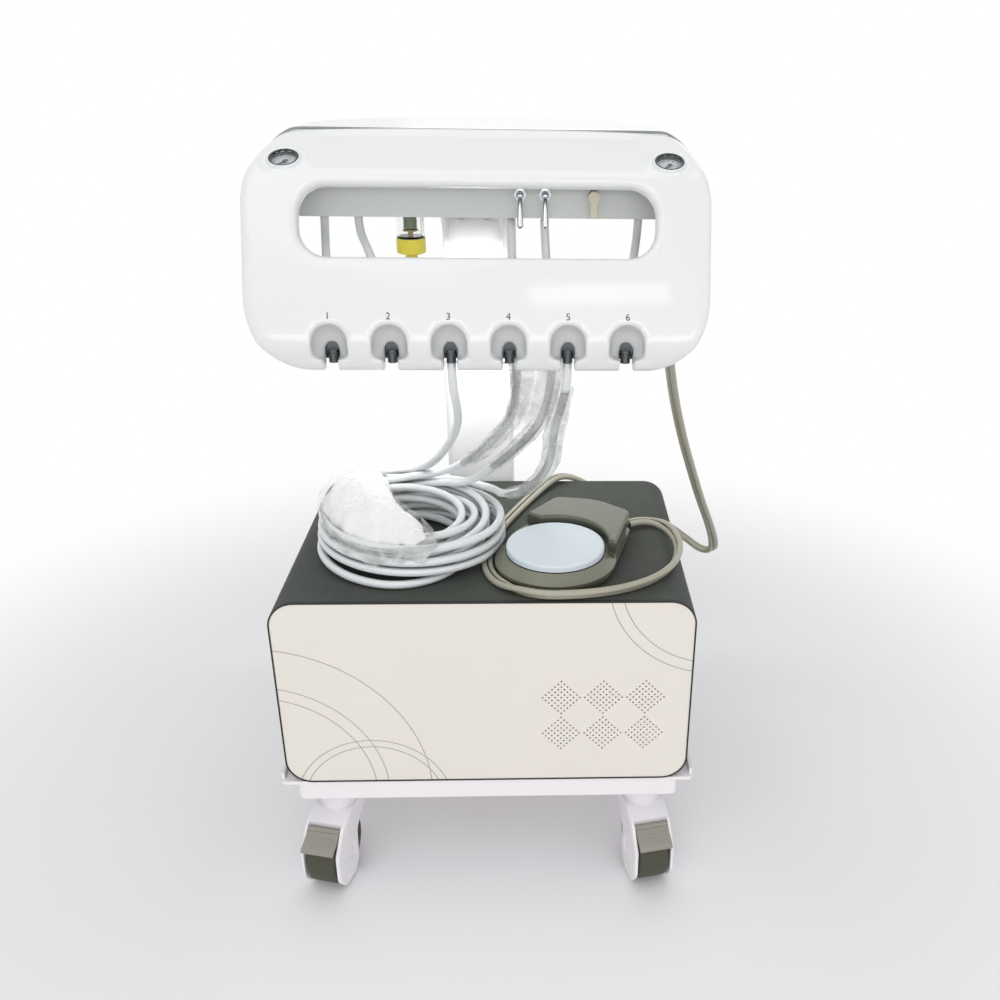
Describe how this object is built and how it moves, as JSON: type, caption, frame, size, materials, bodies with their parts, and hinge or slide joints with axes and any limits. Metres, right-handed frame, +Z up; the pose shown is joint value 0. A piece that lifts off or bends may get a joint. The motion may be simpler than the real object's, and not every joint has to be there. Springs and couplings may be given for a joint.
{
  "type": "portable dental unit",
  "caption": "Cabinet on four swivel casters with a telescopic column, a moulded head with gauges, levers and holder scoops, loose hoses and a foot control.",
  "frame": {"origin": "on the floor, under the middle of the unit's outline in plan", "axes": "+Z up, -Y towards the front with the holders and the cabinet's cream panel, +X to the viewer's right"},
  "size_m": [0.4979, 0.3856, 0.7728],
  "materials": {
    "white_gloss": "gloss",
    "white_paint": "satin",
    "dark_cover": "satin",
    "cream_panel": "satin",
    "black_rubber": "matt",
    "grey_panel": "satin",
    "chrome": "polished",
    "steel": "brushed",
    "cast_aluminium": "cast",
    "tank_paint": "satin",
    "olive_plastic": "matt",
    "pale_blue": "satin",
    "grey_hose": "satin",
    "olive_hose": "satin",
    "olive_tread": "matt",
    "white_plastic": "satin",
    "cream_plastic": "gloss",
    "black_plastic": "matt",
    "clear_plastic": "clear",
    "yellow_plastic": "gloss",
    "dial_face": "matt",
    "red_plastic": "matt",
    "foam_film": "soft",
    "green_board": "satin"
  },
  "bodies": {
    "cabinet": {"base_tray": "white_paint", "base_frame": "white_paint", "caster_stems": "steel", "cabinet_cover": "dark_cover", "front_panel": "cream_panel", "panel_seal": "black_rubber", "rear_panel": "dark_cover", "power_inlet": "black_plastic", "rear_ports": "chrome", "compressor_motor": "cast_aluminium", "compressor_heads": "cast_aluminium", "air_tank": "tank_paint", "suction_pump": "cast_aluminium", "control_board": "green_board", "column_foot": "white_paint", "column_tube": "white_paint", "column_collar": "white_plastic", "pedal_base": "olive_plastic", "pedal_hood": "olive_plastic", "pedal_gland": "black_rubber", "handpiece_hose_1": "grey_hose", "handpiece_hose_2": "grey_hose", "handpiece_hose_3": "grey_hose", "handpiece_hose_4": "grey_hose", "hose_coil": "grey_hose", "instrument_wrap": "foam_film", "pedal_hose": "olive_hose"},
    "mast": {"mast_tube": "steel", "head_bracket": "steel", "head_shell": "white_gloss", "gauge_cases": "black_plastic", "gauge_dials": "dial_face", "gauge_lenses": "clear_plastic", "valve_panel": "grey_panel", "valve_block": "cast_aluminium", "lever_bushings": "chrome", "filter_body": "black_plastic", "filter_bowl": "clear_plastic", "filter_ring": "yellow_plastic", "coupling_rail": "chrome", "inner_tubing": "grey_hose", "hose_socket": "black_plastic"},
    "rocker": {"rocker_switch": "red_plastic"},
    "knob": {"clamp_knob": "black_plastic"},
    "foot_disc": {"pedal_disc": "pale_blue"},
    "left_gauge_needle": {"left_needle": "black_plastic"},
    "right_gauge_needle": {"right_needle": "black_plastic"},
    "toggle_lever_1": {"toggle_1": "chrome"},
    "toggle_lever_2": {"toggle_2": "chrome"},
    "water_lever_body": {"water_lever": "cream_plastic"},
    "front_left_swivel": {"front_left_fork": "white_plastic"},
    "front_left_roll": {"front_left_wheel": "olive_tread"},
    "front_left_brake_body": {"front_left_brake": "olive_plastic"},
    "front_right_swivel": {"front_right_fork": "white_plastic"},
    "front_right_roll": {"front_right_wheel": "olive_tread"},
    "front_right_brake_body": {"front_right_brake": "olive_plastic"},
    "rear_left_swivel": {"rear_left_fork": "white_plastic"},
    "rear_left_roll": {"rear_left_wheel": "olive_tread"},
    "rear_right_swivel": {"rear_right_fork": "white_plastic"},
    "rear_right_roll": {"rear_right_wheel": "olive_tread"}
  },
  "joints": [
    {"name": "mast_slide", "type": "slide", "parent": "cabinet", "child": "mast", "axis": [0, 0, 1], "range_m": [0, 0.08]},
    {"name": "power_rocker", "type": "hinge", "parent": "cabinet", "child": "rocker", "pos_m": [-0.15, 0.1377, 0.203], "axis": [1, 0, 0], "range_deg": [0, 11]},
    {"name": "clamp_knob_turn", "type": "hinge", "parent": "cabinet", "child": "knob", "pos_m": [0.036, 0.1647, 0.526], "axis": [1, 0, 0], "range_deg": [-180, 180]},
    {"name": "foot_disc_press", "type": "slide", "parent": "cabinet", "child": "foot_disc", "axis": [0, 0, -1], "range_m": [0, 0.0035], "stiffness_N_per_m": 2500, "springref_m": -0.003},
    {"name": "left_gauge", "type": "hinge", "parent": "mast", "child": "left_gauge_needle", "pos_m": [-0.173, -0.05092, 0.74532], "axis": [0, -0.4418, 0.8971], "range_deg": [-270, 0], "stiffness_Nm_per_rad": 0.0002},
    {"name": "right_gauge", "type": "hinge", "parent": "mast", "child": "right_gauge_needle", "pos_m": [0.173, -0.05092, 0.74532], "axis": [0, -0.4418, 0.8971], "range_deg": [-270, 0], "stiffness_Nm_per_rad": 0.0002},
    {"name": "toggle_1_tilt", "type": "hinge", "parent": "mast", "child": "toggle_lever_1", "pos_m": [0.037, -0.0333, 0.716], "axis": [1, 0, 0], "range_deg": [-30, 0]},
    {"name": "toggle_2_tilt", "type": "hinge", "parent": "mast", "child": "toggle_lever_2", "pos_m": [0.0605, -0.0333, 0.716], "axis": [1, 0, 0], "range_deg": [-30, 0]},
    {"name": "water_lever_turn", "type": "hinge", "parent": "mast", "child": "water_lever_body", "pos_m": [0.106, -0.0348, 0.715], "axis": [0, 1, 0], "range_deg": [0, 90]},
    {"name": "front_left_swivel_joint", "type": "hinge", "parent": "cabinet", "child": "front_left_swivel", "pos_m": [-0.167, -0.1263, 0.09], "axis": [0, 0, 1], "continuous": true},
    {"name": "front_left_wheel_spin", "type": "hinge", "parent": "front_left_swivel", "child": "front_left_roll", "pos_m": [-0.17214, -0.14769, 0.0375], "axis": [0.9724, -0.2334, 0], "continuous": true},
    {"name": "front_left_brake_press", "type": "hinge", "parent": "front_left_swivel", "child": "front_left_brake_body", "pos_m": [-0.17634, -0.1652, 0.075], "axis": [0.9724, -0.2334, 0], "range_deg": [0, 13.5]},
    {"name": "front_right_swivel_joint", "type": "hinge", "parent": "cabinet", "child": "front_right_swivel", "pos_m": [0.167, -0.1263, 0.09], "axis": [0, 0, 1], "continuous": true},
    {"name": "front_right_wheel_spin", "type": "hinge", "parent": "front_right_swivel", "child": "front_right_roll", "pos_m": [0.17139, -0.14786, 0.0375], "axis": [0.9799, 0.1994, 0], "continuous": true},
    {"name": "front_right_brake_press", "type": "hinge", "parent": "front_right_swivel", "child": "front_right_brake_body", "pos_m": [0.17497, -0.1655, 0.075], "axis": [0.9799, 0.1994, 0], "range_deg": [0, 13.5]},
    {"name": "rear_left_swivel_joint", "type": "hinge", "parent": "cabinet", "child": "rear_left_swivel", "pos_m": [-0.167, 0.1467, 0.09], "axis": [0, 0, 1], "continuous": true},
    {"name": "rear_left_wheel_spin", "type": "hinge", "parent": "rear_left_swivel", "child": "rear_left_roll", "pos_m": [-0.16356, 0.12497, 0.0375], "axis": [0.9877, 0.1564, 0], "continuous": true},
    {"name": "rear_right_swivel_joint", "type": "hinge", "parent": "cabinet", "child": "rear_right_swivel", "pos_m": [0.167, 0.1467, 0.09], "axis": [0, 0, 1], "continuous": true},
    {"name": "rear_right_wheel_spin", "type": "hinge", "parent": "rear_right_swivel", "child": "rear_right_roll", "pos_m": [0.16243, 0.12518, 0.0375], "axis": [0.9781, -0.2079, 0], "continuous": true}
  ]
}
